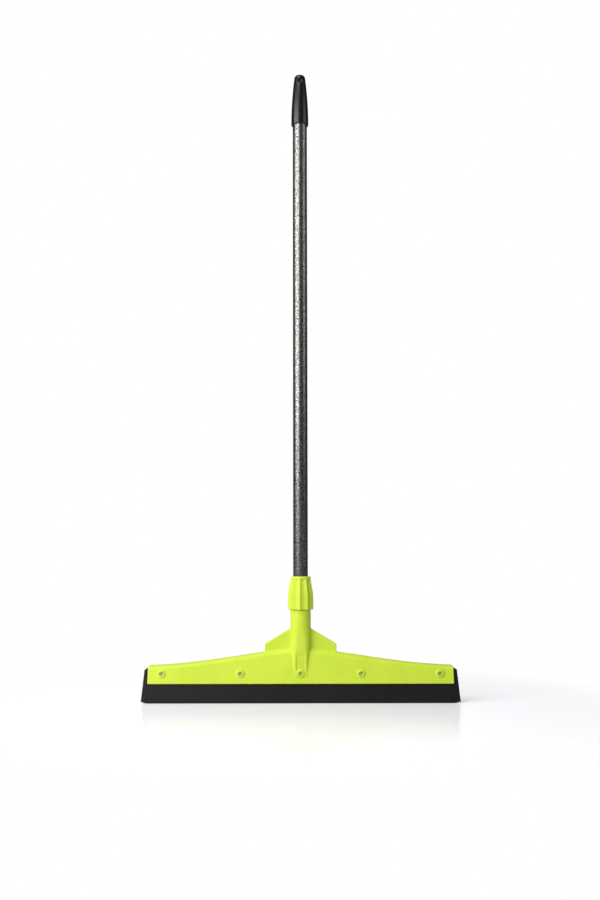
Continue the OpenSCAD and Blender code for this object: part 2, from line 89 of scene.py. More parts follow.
def lime_polypropylene():
    """Injection-moulded polypropylene: satin, faintly cloudy, fine-grained, with painted highlight
    on its edges.
    """
    plastic = new_material("lime polypropylene, moulded")
    place = add_node(plastic, "TexCoord", {}).outputs["Object"]
    # Clouds of pigment, about 45 mm across, where the melt flowed
    clouds = add_node(plastic, "TexNoise",
                      {"Scale": per_metre(45), "Detail": 3.0, "Roughness": 0.6}, {"Vector": place})
    tone = add_node(plastic, "ValToRGB",
                    {"stops": [(0.32, srgb("#cce435")), (0.68, srgb("#d4ea40"))]},
                    {"Fac": clouds.outputs["Fac"]})
    # Painted highlight: the sharp outer edges are mixed towards a paler lime
    edges = add_node(plastic, "NewGeometry", {}).outputs["Pointiness"]
    edge_highlight = add_node(plastic, "MapRange", {"From Min": 0.52, "From Max": 0.62, "To Max": 0.55},
                      {"Value": edges})
    colour = add_node(plastic, "Mix", {"data_type": "RGBA", 7: srgb("#e6f58c")},
                      {"Factor": edge_highlight.outputs["Result"], 6: tone.outputs["Color"]})
    # The real spark-eroded grain is about 0.2 mm, too fine to show, so it is drawn at 0.9 mm
    grain = add_node(plastic, "TexNoise", {"Scale": per_metre(0.9), "Detail": 2.0},
                     {"Vector": place})
    gloss = add_node(plastic, "MapRange",
                     {"From Min": 0.3, "From Max": 0.7, "To Min": 0.52, "To Max": 0.64},
                     {"Value": grain.outputs["Fac"]})
    relief = add_node(plastic, "Bump", {"Strength": 0.12, "Distance": 0.15 * MM},
                      {"Height": grain.outputs["Fac"]})
    shader = add_node(plastic, "BsdfPrincipled", {"IOR": 1.49},
                      {"Base Color": colour.outputs[2], "Roughness": gloss.outputs["Result"],
                       "Normal": relief.outputs["Normal"]})
    add_node(plastic, "OutputMaterial", {}, {"Surface": shader.outputs["BSDF"]})
    return plastic


def dress(node_name, material, edge_mm):
    """Gives a CAD node its material and small rounded edges."""
    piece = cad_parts[node_name]
    piece.data.materials.clear()
    piece.data.materials.append(material)
    merge = piece.modifiers.new("joined corners", "WELD")
    merge.merge_threshold = SAME_CORNER
    flat = piece.modifiers.new("whole faces", "DECIMATE")
    flat.decimate_type = "DISSOLVE"
    flat.angle_limit = SAME_FACE
    edge = piece.modifiers.new("rounded edges", "BEVEL")
    edge.width = edge_mm * MM
    edge.segments = 2
    edge.limit_method = "ANGLE"
    edge.angle_limit = ROUNDED_EDGE
    even = piece.modifiers.new("even shading", "WEIGHTED_NORMAL")
    even.keep_sharp = True


lime_moulded = lime_polypropylene()
dress("spreader_bar", lime_moulded, BAR_EDGE)

# RUBBER LIPS: two slabs of black cellular rubber that lean against the spreader bar.
# They are cut from sheet, so the faces keep a fine closed skin and the cut edges show open pores.
LEAN = math.radians(9)
CHEEK_Z = 32.7                    # lower edge of the head's cheeks
SPREADER_HALF = 8.2               # half width of the spreader bar there
LIP_THICK = 8 / math.cos(LEAN)    # lip measured along y
LIP_TOP = 57.1
LIP_HALF, LIP_TOP_HALF = 275.0, 270.5
LIP_BEVEL, LIP_CORNER, LIP_NICK = 3.0, 11.0, 1.0
LIP_SOFT = 0.4                    # rounding of the cut edges
LIP_FLAT = 300 * MM * MM          # larger faces stay flat, the rounded edges are smooth


def put(name, mesh, material):
    """Places an object with that mesh, in one material, in the scene."""
    mesh.materials.append(material)
    piece = bpy.data.objects.new(name, mesh)
    bpy.context.scene.collection.objects.link(piece)
    return piece


def cellular_rubber():
    """Closed-cell rubber: nearly black, dull, with pores darkened by painted shade and a dusty
    bloom in lighter patches.
    """
    rubber = new_material("black cellular rubber, cut from sheet")
    place = add_node(rubber, "TexCoord", {}).outputs["Object"]
    # The pores are about 0.5 mm across, too fine to show, so they are drawn at 1.3 mm
    pores = add_node(rubber, "TexVoronoi", {"Scale": per_metre(1.3), "Randomness": 1.0},
                     {"Vector": place})
    bloom = add_node(rubber, "TexNoise",
                     {"Scale": per_metre(30), "Detail": 5.0, "Roughness": 0.65}, {"Vector": place})
    tone = add_node(rubber, "ValToRGB",
                    {"stops": [(0.3, srgb("#090909")), (0.7, srgb("#0f0f0e"))]},
                    {"Fac": bloom.outputs["Fac"]})
    # Painted shade: the colour darkens towards the middle of each pore
    pore_shade = add_node(rubber, "MapRange", {"From Max": 0.3, "To Min": 0.75, "To Max": 1.0},
                   {"Value": pores.outputs["Distance"]})
    colour = add_node(rubber, "Mix",
                      {"data_type": "RGBA", "blend_type": "MULTIPLY", "Factor": 1.0},
                      {6: tone.outputs["Color"], 7: pore_shade.outputs["Result"]})
    dull = add_node(rubber, "MapRange", {"To Min": 0.42, "To Max": 0.56},
                    {"Value": bloom.outputs["Fac"]})
    relief = add_node(rubber, "Bump", {"Strength": 0.35, "Distance": 0.2 * MM},
                      {"Height": pores.outputs["Distance"]})
    shader = add_node(rubber, "BsdfPrincipled", {"IOR": 1.5, "Specular IOR Level": 0.36},
                      {"Base Color": colour.outputs[2], "Roughness": dull.outputs["Result"],
                       "Normal": relief.outputs["Normal"]})
    add_node(rubber, "OutputMaterial", {}, {"Surface": shader.outputs["BSDF"]})
    return rubber


def lip_inner(z):
    """Half depth of the lips' inner faces at height z."""
    return SPREADER_HALF - (z - CHEEK_Z) * math.tan(LEAN)


rubber = cellular_rubber()
for lip_name, side in (("front_lip", -1), ("rear_lip", 1)):
    lip = bmesh.new()
    corners = [(LIP_HALF - LIP_CORNER, 0), (LIP_HALF, LIP_BEVEL),
               (LIP_TOP_HALF, LIP_TOP - LIP_NICK), (LIP_TOP_HALF - LIP_NICK, LIP_TOP)]
    outline = [(-x, z) for x, z in reversed(corners)] + corners
    rings = [[lip.verts.new((x * MM, side * (lip_inner(z) + depth) * MM, z * MM))
              for x, z in outline] for depth in (0, LIP_THICK)]
    lip.faces.new(rings[0])
    lip.faces.new(rings[1][::-1])
    for i in range(len(outline)):
        j = (i + 1) % len(outline)
        lip.faces.new((rings[0][j], rings[0][i], rings[1][i], rings[1][j]))
    bmesh.ops.recalc_face_normals(lip, faces=lip.faces)
    # The wiping edge is ground off at 45 degrees, then every cut edge is softened a little
    bevel_y = side * (lip_inner(LIP_BEVEL) + LIP_THICK)
    bmesh.ops.bisect_plane(
        lip, geom=lip.verts[:] + lip.edges[:] + lip.faces[:], clear_outer=True,
        plane_co=(0, bevel_y * MM, LIP_BEVEL * MM), plane_no=(0, side, -1))
    bmesh.ops.holes_fill(lip, edges=[e for e in lip.edges if e.is_boundary])
    bmesh.ops.recalc_face_normals(lip, faces=lip.faces)
    bmesh.ops.bevel(lip, geom=lip.edges[:], offset=LIP_SOFT * MM, segments=2, profile=0.5,
                    affect="EDGES")
    for face in lip.faces:
        face.smooth = face.calc_area() < LIP_FLAT
    mesh = bpy.data.meshes.new(lip_name + "_rubber")
    lip.to_mesh(mesh)
    lip.free()
    piece = put(lip_name + "_rubber", mesh, rubber)
    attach(piece, "head")
    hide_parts(lip_name)

# HEAD SHELL: the lime body that clamps the lips, with its gusset, neck, socket and bolt bosses.
# It is one polypropylene moulding, so its faces run into each other in fillets and have soft edges.
# The field gives each point its distance to the moulding's surface, and the mesh is the zero level.
HEAD_HALF, HEAD_END_DRAW = 264.5, 0.2
HEAD_END_TOP, CROWN_RISE = 62.4, 29.7
HEAD_MID_TOP = HEAD_END_TOP + CROWN_RISE
CROWN_BEND, CROWN_STRAIGHT = 1.2, 0.4              # shape of the rise, share of it that is straight
CROWN_EDGE, CROWN_EDGE_GAIN = 6.0, 2.5             # rounding at the ends, and what the middle adds
WALL, HEAD_ROOF, END_EDGE, FOOT_EDGE = 3.0, 5.0, 1.0, 1.2
CHEEK_Y = lip_inner(CHEEK_Z) + LIP_THICK + WALL / math.cos(LEAN)
LIP_ROOM, SLOT_EDGE = 0.3, 0.4                     # space above the lips, edge of their slot
GUSSET_HALF, GUSSET_Z, HIP_RISE, HIP_RUN = 62.5, 99.6, 28.5, 47.75
WEB_HALF, WEB_DRAFT = 3.5, math.radians(1.5)
HIP_EDGE, WEB_EDGE, GUSSET_FILLET = 0.8, 1.0, 1.6
NECK_R, NECK_ROUND_Z, SHOULDER_Z = 17.75, 128.1, 158.6
NECK_EDGE, NECK_FILLET = 0.7, 1.8
TONGUE_Z, TONGUE_HALF, TONGUE_SQUARE = 43.9, 12.5, 6    # the last is the power of its outline
PANEL_HALF, PANEL_EDGE, PANEL_FADE = 7.8, 0.5, 6        # the sunk face of the tongue
PANEL_DEPTHS = [2.0, 1.2, 0.0]
THREAD_LEAD, THREAD_ROOT, THREAD_CREST = 4.0, 1.1, 0.6  # rise per turn, half widths of the ridge
THREAD_FADE = 0.25                                      # turns over which its ends fade
THREAD_ROOT_R, THREAD_DEEP, THREAD_FLANK = 15.9, 1.2, 0.8
NECK_THREAD_Z, NECK_THREAD_RISE = SHOULDER_Z + 2.0, 21.5
SOCKET_R, SOCKET_Z, RIM_Z, RIM_EDGE = 13.15, 89.6, 188.1, 0.6
MOUTH_R, MOUTH_DEEP, MOUTH_TAPER = 15.0, 12, math.radians(4.5)
BOLT_Z = 49.9
BOLT_XS = (-240.5, -104.5, 0.0, 104.5, 240.5)
BOLT_HOLE_R, HEAD_POCKET_R, NUT_POCKET_HALF, POCKET_EDGE = 1.5, 3.4, 2.75, 0.4
HEAD_SEAT_Y, NUT_SEAT_Y = 15.51, 16.81
BOSS_Y, BOSS_R, BOSS_EDGE, BOSS_FILLET = 19.11, 7.0, 2.2, 0.7
HEAD_PITCH, HEAD_KEEP = 0.7, 0.12                  # lattice of the field, share of faces kept
LARGE_FACE_WEIGHT = 60                             # how much large faces lead in the shading
HEAD_BLOCKS = [((-266.0, -24.5, 30.1), (266.0, 24.5, 94.5)),
               ((-66.5, -24.5, 94.5), (66.5, 24.5, 191.1))]


def both(a, b, radius=0.0):
    """What two distances share, with a rounded edge where their surfaces meet."""
    corner = np.hypot(np.maximum(a + radius, 0), np.maximum(b + radius, 0))
    return np.minimum(-radius, np.maximum(a, b)) + corner


def either(a, b, radius=0.0):
    """Two forms joined, with a fillet in the corner between them."""
    return -both(-a, -b, radius)


def without(a, b, radius=0.0):
    """The first form with the second cut out of it, and a rounded edge round the cut."""
    return both(a, -b, radius)


def thread_height(angle, z, start, rise):
    """Height of a thread ridge, 0 to 1: trapezoid turns that fade at both ends."""
    turn = np.round((z - start) / THREAD_LEAD - angle / (2 * np.pi)) + angle / (2 * np.pi)
    last = rise / THREAD_LEAD
    away = np.abs(z - start - THREAD_LEAD * np.clip(turn, 0, last))
    fade = np.clip(np.minimum(turn, last - turn) / THREAD_FADE, 0, 1)
    return np.clip((THREAD_ROOT - away) / (THREAD_ROOT - THREAD_CREST), 0, 1) * fade


def head_top(x):
    """Height of the head's crown along its length."""
    u = 1 - np.abs(x) / HEAD_HALF
    s = np.maximum(u, 0) ** CROWN_BEND
    eased = (3 - 2 * s) * s * s
    return HEAD_END_TOP + CROWN_RISE * (CROWN_STRAIGHT * u + (1 - CROWN_STRAIGHT) * eased)


def head_field(x, y, z):
    """Distance to the head's surface at points in millimetres, negative inside."""
    deep, along, radius = np.abs(y), np.abs(x), np.hypot(x, y)

    # The body: two leaning cheeks under an arched crown
    slope = np.gradient(head_top(x[:, 0, 0]), x[:, 0, 0])[:, None, None]
    roof = (z - head_top(x)) / np.sqrt(1 + slope * slope)
    cheeks = (deep - CHEEK_Y + (z - CHEEK_Z) * math.tan(LEAN)) * math.cos(LEAN)
    ends = along - HEAD_HALF + HEAD_END_DRAW * (z - CHEEK_Z) / (HEAD_END_TOP - CHEEK_Z)
    crown = CROWN_EDGE + CROWN_EDGE_GAIN * np.maximum(0, head_top(x) - HEAD_END_TOP) / CROWN_RISE
    head = both(both(both(cheeks, roof, crown), ends, END_EDGE), CHEEK_Z - z, FOOT_EDGE)

    # The gusset: an upright web with a sloping shoulder on each side of the neck
    web = (deep - WEB_HALF + (z - HEAD_MID_TOP) * math.tan(WEB_DRAFT)) * math.cos(WEB_DRAFT)
    hip = (along - GUSSET_HALF) * HIP_RISE + (z - GUSSET_Z) * HIP_RUN
    hip = hip / math.hypot(HIP_RISE, HIP_RUN)
    gusset = both(both(along - GUSSET_HALF, hip, HIP_EDGE), web, WEB_EDGE)
    head = either(head, both(gusset, HEAD_END_TOP - z), GUSSET_FILLET)

    # The neck: round at the top, and drawn down into a narrower and squarer tongue on each cheek.
    # The two small limits keep its axis from dividing by nothing
    drawn = np.clip((NECK_ROUND_Z - z) / (NECK_ROUND_Z - TONGUE_Z), 0, 1)
    half = NECK_R - (NECK_R - TONGUE_HALF) * drawn
    power = 2 + (TONGUE_SQUARE - 2) * drawn
    across, outward = along / half, deep / NECK_R
    ring = np.maximum(across ** power + outward ** power, 1e-6)
    steep = np.hypot(across ** (power - 1) / half, outward ** (power - 1) / NECK_R)
    steep = np.maximum(ring ** (1 / power - 1) * steep, 0.02)
    neck = both((ring ** (1 / power) - 1) / steep, z - SHOULDER_Z, NECK_EDGE)
    panel_top = HEAD_MID_TOP - HEAD_ROOF
    sunk = np.interp(z, [BOLT_Z, panel_top - PANEL_FADE, panel_top], PANEL_DEPTHS)
    panel = both(along - PANEL_HALF, NECK_R - sunk - deep)
    head = either(head, without(both(neck, TONGUE_Z - z), panel, PANEL_EDGE), NECK_FILLET)

    # The threaded spigot on the neck and the bosses round the bolts
    ridge = thread_height(np.arctan2(y, x), z, NECK_THREAD_Z, NECK_THREAD_RISE)
    spigot = (radius - THREAD_ROOT_R - THREAD_DEEP * ridge) * THREAD_FLANK
    head = either(head, both(both(spigot, z - RIM_Z, RIM_EDGE), HEAD_MID_TOP - z))
    for bolt_x in BOLT_XS:
        bolt_r = np.hypot(x - bolt_x, z - BOLT_Z)
        head = either(head, both(bolt_r - BOSS_R, deep - BOSS_Y, BOSS_EDGE), BOSS_FILLET)

    # The hollows: the slot of the lips, the space under the crown, the socket and its tapered mouth
    lip_space = cheeks + WALL
    head = without(head, both(lip_space, z - LIP_TOP - LIP_ROOM), SLOT_EDGE)
    head = without(head, both(both(lip_space, roof + HEAD_ROOF), NECK_R + WALL - along))
    head = without(head, both(radius - SOCKET_R, SOCKET_Z - z))
    mouth = radius - MOUTH_R + (RIM_Z - z) * math.tan(MOUTH_TAPER)
    head = without(head, both(mouth, RIM_Z - MOUTH_DEEP - z))

    # The bolts' holes, with round pockets for the heads in front and hexagonal ones for the nuts
    for bolt_x in BOLT_XS:
        dx, dz = x - bolt_x, z - BOLT_Z
        bolt_r = np.hypot(dx, dz)
        flats = np.maximum(np.abs(dz) * math.sin(math.pi / 3) + np.abs(dx) / 2, np.abs(dx))
        head = without(head, bolt_r - BOLT_HOLE_R)
        head = without(head, both(bolt_r - HEAD_POCKET_R, HEAD_SEAT_Y + y), POCKET_EDGE)
        head = without(head, both(flats - NUT_POCKET_HALF, NUT_SEAT_Y - y), POCKET_EDGE)
    return head


def mesh_piece(name, points_mm, faces, material):
    """A smooth-shaded object from points in millimetres, with its normals turned outwards."""
    mesh = bpy.data.meshes.new(name)
    mesh.from_pydata([[c * MM for c in p] for p in points_mm], [], faces)
    work = bmesh.new()
    work.from_mesh(mesh)
    bmesh.ops.recalc_face_normals(work, faces=work.faces)
    for face in work.faces:
        face.smooth = True
    work.to_mesh(mesh)
    work.free()
    return put(name, mesh, material)


def moulded(name, field, blocks, pitch, keep, material):
    """Meshes the zero level of a distance field, sampled in blocks on one lattice of that pitch."""
    origin = np.array(blocks[0][0])
    band = 2 * pitch
    grid = openvdb.FloatGrid(band)
    for low, high in blocks:
        first = np.round((np.array(low) - origin) / pitch).astype(int)
        last = np.round((np.array(high) - origin) / pitch).astype(int)
        x, y, z = [(origin[k] + pitch * np.arange(first[k], last[k])).astype(np.float32)
                   for k in range(3)]
        values = np.clip(field(x[:, None, None], y[None, :, None], z[None, None, :]), -band, band)
        grid.copyFromArray(np.ascontiguousarray(values, dtype=np.float32),
                           ijk=tuple(int(k) for k in first))
    points, triangles, quads = grid.convertToPolygons(isovalue=0.0, adaptivity=0.0)
    faces = [tuple(map(int, f)) for part in (triangles, quads) for f in part]
    piece = mesh_piece(name, origin + points * pitch, faces, material)
    thin = piece.modifiers.new("fewer faces", "DECIMATE")
    thin.ratio = keep
    even = piece.modifiers.new("even shading", "WEIGHTED_NORMAL")
    even.weight = LARGE_FACE_WEIGHT
    return piece


head_piece = moulded("head_moulding", head_field, HEAD_BLOCKS, HEAD_PITCH, HEAD_KEEP, lime_moulded)
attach(head_piece, "head")
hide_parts("head_shell")

# CLAMP BOLTS AND NUTS: five pan-head bolts that go in from the front, and the nuts in the rear
# pockets. They are cold-formed steel with bright zinc plating, a little grey in patches.
BOLT_EDGE = 0.12
NUT_HALF, NUT_TALL, NUT_BORE = 2.5, 2.0, 1.3
NUT_FACE = 0.95 * NUT_HALF                         # radius of the flat on both faces
NUT_SINK, NUT_EDGE = 0.4, 0.15                     # countersink of the bore, least edge rounding
NUT_COLUMNS, NUT_SHARP = 72, math.radians(28)


def zinc_plate():
    """Bright zinc on steel: bluish white metal with a soft spangle and duller patches."""
    zinc = new_material("bright zinc plating on steel")
    place = add_node(zinc, "TexCoord", {}).outputs["Object"]
    spangle = add_node(zinc, "TexVoronoi", {"Scale": per_metre(0.8)}, {"Vector": place})
    patch = add_node(zinc, "TexNoise", {"Scale": per_metre(2.5), "Detail": 3.0}, {"Vector": place})
    tone = add_node(zinc, "ValToRGB",
                    {"stops": [(0.3, srgb("#c9cac8")), (0.7, srgb("#e6e7e4"))]},
                    {"Fac": patch.outputs["Fac"]})
    gloss = add_node(zinc, "MapRange", {"To Min": 0.12, "To Max": 0.22},
                     {"Value": patch.outputs["Fac"]})
    relief = add_node(zinc, "Bump", {"Strength": 0.15, "Distance": 0.05 * MM},
                      {"Height": spangle.outputs["Distance"]})
    shader = add_node(zinc, "BsdfPrincipled", {"Metallic": 1.0},
                      {"Base Color": tone.outputs["Color"], "Roughness": gloss.outputs["Result"],
                       "Normal": relief.outputs["Normal"]})
    add_node(zinc, "OutputMaterial", {}, {"Surface": shader.outputs["BSDF"]})
    return zinc


def ring_faces(rings, columns, first=0):
    """Faces over a closed loop of rings of points, counted on from the first point."""
    faces = []
    for i in range(rings):
        a, b = first + i * columns, first + (i + 1) % rings * columns
        for j in range(columns):
            k = (j + 1) % columns
            faces.append((a + j, a + k, b + k, b + j))
    return faces


def all_round(value):
    """The same value in each column of a nut."""
    return [value] * NUT_COLUMNS


zinc = zinc_plate()
dress("clamp_bolts", zinc, BOLT_EDGE)
turns = [2 * math.pi * i / NUT_COLUMNS for i in range(NUT_COLUMNS)]
hexagon = [NUT_HALF / math.cos((a + math.pi / 6) % (math.pi / 3) - math.pi / 6) for a in turns]
# The corners are turned off at 30 degrees on both faces, and the bore is countersunk
cut = [max(NUT_EDGE, (r - NUT_FACE) * math.tan(math.pi / 6)) for r in hexagon]
nut_rings = [
    (all_round(NUT_BORE), all_round(NUT_SINK)), (all_round(NUT_BORE + NUT_SINK), all_round(0.0)),
    (all_round(NUT_FACE), all_round(0.0)), (hexagon, cut),
    (hexagon, [NUT_TALL - c for c in cut]), (all_round(NUT_FACE), all_round(NUT_TALL)),
    (all_round(NUT_BORE + NUT_SINK), all_round(NUT_TALL)),
    (all_round(NUT_BORE), all_round(NUT_TALL - NUT_SINK))]
nut_points, nut_faces = [], []
for bolt_x in BOLT_XS:
    nut_faces += ring_faces(len(nut_rings), NUT_COLUMNS, len(nut_points))
    for radii, heights in nut_rings:
        nut_points += [(bolt_x + r * math.cos(a + math.pi / 6), NUT_SEAT_Y + h,
                        BOLT_Z + r * math.sin(a + math.pi / 6))
                       for a, r, h in zip(turns, radii, heights)]
nuts = mesh_piece("clamp_nuts_zinc", nut_points, nut_faces, zinc)
nuts.data.set_sharp_from_angle(angle=NUT_SHARP)
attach(nuts, "head")
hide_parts("clamp_nuts")

# HANDLE TUBE: a thin-walled steel tube, 26 mm across, that stands in the head's socket.
# Its powder coat is a silver and black hammertone, which sets in small dimples with dark veins.
TUBE_R, TUBE_EDGE = 13.0, 0.15


def hammertone_coat():
    """Hammertone powder coat: metallic silver dimples, about 1.3 mm across, between dark veins."""
    coat = new_material("silver and black hammertone powder coat")
    place = add_node(coat, "TexCoord", {}).outputs["Object"]
    # The dimples are bent out of their round shape by up to 0.9 mm
    wander = add_node(coat, "TexNoise", {"Scale": per_metre(1.9), "Detail": 2.0},
                      {"Vector": place})
    bent = add_node(coat, "Mix",
                    {"data_type": "VECTOR", "blend_type": "MIX", "Factor": 0.9 * MM},
                    {4: place, 5: wander.outputs["Color"]})
    dimples = add_node(coat, "TexVoronoi",
                       {"Scale": per_metre(1.3), "feature": "SMOOTH_F1", "Smoothness": 0.4},
                       {"Vector": bent.outputs[1]})
    flecks = add_node(coat, "TexNoise", {"Scale": per_metre(1.0), "Detail": 3.0, "Roughness": 0.7},
                      {"Vector": place})
    mottle = add_node(coat, "Math", {"operation": "SUBTRACT"},
                      {0: flecks.outputs["Fac"], 1: dimples.outputs["Distance"]})
    tone = add_node(coat, "ValToRGB",
                    {"stops": [(0.0, srgb("#464543")), (0.12, srgb("#999794")),
                               (0.32, srgb("#d7d4d0"))]},
                    {"Fac": mottle.outputs["Value"]})
    gloss = add_node(coat, "MapRange", {"From Max": 0.4, "To Min": 0.38, "To Max": 0.28},
                     {"Value": mottle.outputs["Value"]})
    relief = add_node(coat, "Bump", {"Strength": 0.22, "Distance": 0.15 * MM, "invert": True},
                      {"Height": dimples.outputs["Distance"]})
    shader = add_node(coat, "BsdfPrincipled",
                      {"Metallic": 1.0, "Coat Weight": 0.15, "Coat Roughness": 0.2},
                      {"Base Color": tone.outputs["Color"], "Roughness": gloss.outputs["Result"],
                       "Normal": relief.outputs["Normal"]})
    add_node(coat, "OutputMaterial", {}, {"Surface": shader.outputs["BSDF"]})
    return coat


dress("handle_tube", hammertone_coat(), TUBE_EDGE)

# FOOT PLUG: the flanged stopper in the lower end of the tube, which stands on the socket's floor.
# It is moulded in black polypropylene and pressed in.
PLUG_EDGE = 0.3


def black_plastic(name, deep, main, pale):
    """Moulded dark plastic: satin, with a fine matt grain, faint clouds and painted highlight
    greying its edges.
    """
    plastic = new_material(name)
    place = add_node(plastic, "TexCoord", {}).outputs["Object"]
    # Clouds of pigment, about 18 mm across, where the melt flowed
    clouds = add_node(plastic, "TexNoise", {"Scale": per_metre(18), "Detail": 4.0},
                      {"Vector": place})
    tone = add_node(plastic, "ValToRGB", {"stops": [(0.3, srgb(deep)), (0.7, srgb(main))]},
                    {"Fac": clouds.outputs["Fac"]})
    # Painted highlight: the sharp outer edges are mixed towards the pale tone
    edges = add_node(plastic, "NewGeometry", {}).outputs["Pointiness"]
    edge_highlight = add_node(plastic, "MapRange", {"From Min": 0.52, "From Max": 0.64, "To Max": 0.6},
                      {"Value": edges})
    colour = add_node(plastic, "Mix", {"data_type": "RGBA", 7: srgb(pale)},
                      {"Factor": edge_highlight.outputs["Result"], 6: tone.outputs["Color"]})
    # The etched grain is about 0.15 mm, too fine to show, so it is drawn at 0.8 mm
    grain = add_node(plastic, "TexNoise", {"Scale": per_metre(0.8), "Detail": 2.0},
                     {"Vector": place})
    gloss = add_node(plastic, "MapRange",
                     {"From Min": 0.3, "From Max": 0.7, "To Min": 0.22, "To Max": 0.3},
                     {"Value": grain.outputs["Fac"]})
    relief = add_node(plastic, "Bump", {"Strength": 0.15, "Distance": 0.12 * MM},
                      {"Height": grain.outputs["Fac"]})
    shader = add_node(plastic, "BsdfPrincipled", {"IOR": 1.5},
                      {"Base Color": colour.outputs[2], "Roughness": gloss.outputs["Result"],
                       "Normal": relief.outputs["Normal"]})
    add_node(plastic, "OutputMaterial", {}, {"Surface": shader.outputs["BSDF"]})
    return plastic


black_moulded = black_plastic("black polypropylene, moulded", "#0b0b0a", "#121110", "#2a2927")
dress("foot_plug", black_moulded, PLUG_EDGE)

# END CAP: the long tapered grip at the top of the tube, with a hole to hang the squeegee by.
# It is moulded in black polypropylene and pushed over the tube, which it covers for 25 mm.
CAP_Z, CAP_LEN, CAP_GRIP = 1041.8, 95.9, 25.0
CAP_R, CAP_TIP_R, CAP_ROUND = 15.7, 10.05, 5.0
CAP_EDGE, CAP_PLAY, CAP_MOUTH_EDGE = 0.8, 0.1, 0.2
HANG_Z, HANG_R, HANG_FLARE = 1123.7, 4.0, 2.4
CAP_PITCH, CAP_KEEP = 0.45, 0.25
CAP_BLOCKS = [((-17.1, -17.1, 1040.0), (17.1, 17.1, 1139.9))]


def cap_field(x, y, z):
    """Distance to the cap: a tapered body with a rounded tip, a socket and a flared cross hole."""
    radius = np.hypot(x, y)
    t = (z - CAP_Z) / (CAP_LEN - CAP_ROUND)
    side = radius - CAP_R + (CAP_R - CAP_TIP_R) * t * t
    cap = both(both(side, z - CAP_Z - CAP_LEN, CAP_ROUND), CAP_Z - z, CAP_EDGE)
    socket = both(radius - TUBE_R - CAP_PLAY, z - CAP_Z - CAP_GRIP)
    cap = without(cap, socket, CAP_MOUTH_EDGE)
    return without(cap, np.hypot(x, z - HANG_Z) - HANG_R, HANG_FLARE)


cap = moulded("end_cap_moulding", cap_field, CAP_BLOCKS, CAP_PITCH, CAP_KEEP, black_moulded)
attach(cap, "handle")
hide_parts("end_cap")

# COLLET: the split sleeve that the collar draws down onto the tube. It is moulded in grey acetal,
# hard and slippery, and snaps into the collar.
COLLET_EDGE = 0.2
dress("collet", black_plastic("grey acetal, moulded", "#323433", "#3d403e", "#5f6360"), COLLET_EDGE)

# COLLAR: the fluted nut that is turned by hand to lock the handle, screwed onto the neck's thread.
# It is moulded in the same lime polypropylene as the head, with hollow flutes between sharp ridges.
COLLAR_Z, COLLAR_LEN, COLLAR_STRAIGHT, COLLAR_BEND = 159.0, 57.4, 25.5, 5.0
COLLAR_R, COLLAR_TOP_R, COLLAR_RIM, COLLAR_EDGE = 23.1, 17.3, 3.5, 0.8
COLLAR_TOP_Z, FLUTE_END = COLLAR_Z + COLLAR_LEN, COLLAR_LEN - 2 * COLLAR_RIM
FLUTES, FLUTE_COLUMNS, FLUTE_DEEP, FIRST_RIDGE = 10, 16, 2.6, math.radians(-93.5)
EXIT_R, EXIT_EDGE = 13.35, 0.5                     # where the tube leaves the collar
COLLET_ROOM_R, COLLET_ROOM_Z = 15.9, 204.0         # groove that the collet's head snaps into
SNAP_R, SNAP_Z, SNAP_TALL = 15.0, 197.6, 1.4       # ridge that holds it there
BORE_R, BORE_EDGE, BORE_PLAIN = 17.4, 0.4, 0.5     # the last is plain bore below the ridge
BORE_TOP_Z, BORE_FOOT_Z = SNAP_Z - SNAP_TALL - BORE_PLAIN, COLLAR_Z + BORE_EDGE
COLLAR_THREAD_Z, COLLAR_THREAD_RISE = SHOULDER_Z + 4.0, 19.5
FOOT_STEPS, GRIP_STEPS, RUN_OUT_STEPS, RIM_STEPS, BORE_STEPS = 6, 44, 8, 5, 79
COLLAR_SHARP = math.radians(32)
columns = FLUTES * FLUTE_COLUMNS
angles = [FIRST_RIDGE + 2 * math.pi * j / columns for j in range(columns)]
hollows = [abs(math.sin(math.pi * j / FLUTE_COLUMNS)) for j in range(columns)]


def grip_radius(h):
    """Radius over the ridges at height h: straight, then eased over a bend into a taper."""
    past = h - COLLAR_STRAIGHT
    eased = (past + COLLAR_BEND) ** 2 / (4 * COLLAR_BEND)
    run = 0 if past < -COLLAR_BEND else past if past > COLLAR_BEND else eased
    return COLLAR_R - (COLLAR_R - COLLAR_TOP_R) * run / (COLLAR_LEN - COLLAR_STRAIGHT)


def ring_at(z, radii):
    """A ring of points at height z, with a radius for each column."""
    return [(r * math.cos(a), r * math.sin(a), z) for r, a in zip(radii, angles)]


# The outside: for each ring its height, its radius over the ridges and how deep the flutes are
grip = []
for step in range(FOOT_STEPS + 1):
    a = math.pi / 2 * step / FOOT_STEPS
    h = COLLAR_EDGE * (1 - math.cos(a))
    grip.append((h, grip_radius(h) - COLLAR_EDGE * (1 - math.sin(a)), 1.0))
for step in range(1, GRIP_STEPS + 1):
    h = COLLAR_EDGE + (FLUTE_END - COLLAR_EDGE) * step / GRIP_STEPS
    grip.append((h, grip_radius(h), 1.0))
# The flutes run out in a short curve below the plain rim
for step in range(1, RUN_OUT_STEPS + 1):
    h = FLUTE_END + COLLAR_RIM * step / RUN_OUT_STEPS
    grip.append((h, grip_radius(h), math.sqrt(max(0, 1 - (step / RUN_OUT_STEPS) ** 2))))
for step in range(RIM_STEPS + 1):
    a = math.pi / 2 * step / RIM_STEPS
    h = COLLAR_LEN - COLLAR_EDGE * (1 - math.sin(a))
    grip.append((h, grip_radius(h) - COLLAR_EDGE * (1 - math.cos(a)), 0.0))
collar_rings = [ring_at(COLLAR_Z + h, [r - share * FLUTE_DEEP * hollow for hollow in hollows])
                for h, r, share in grip]

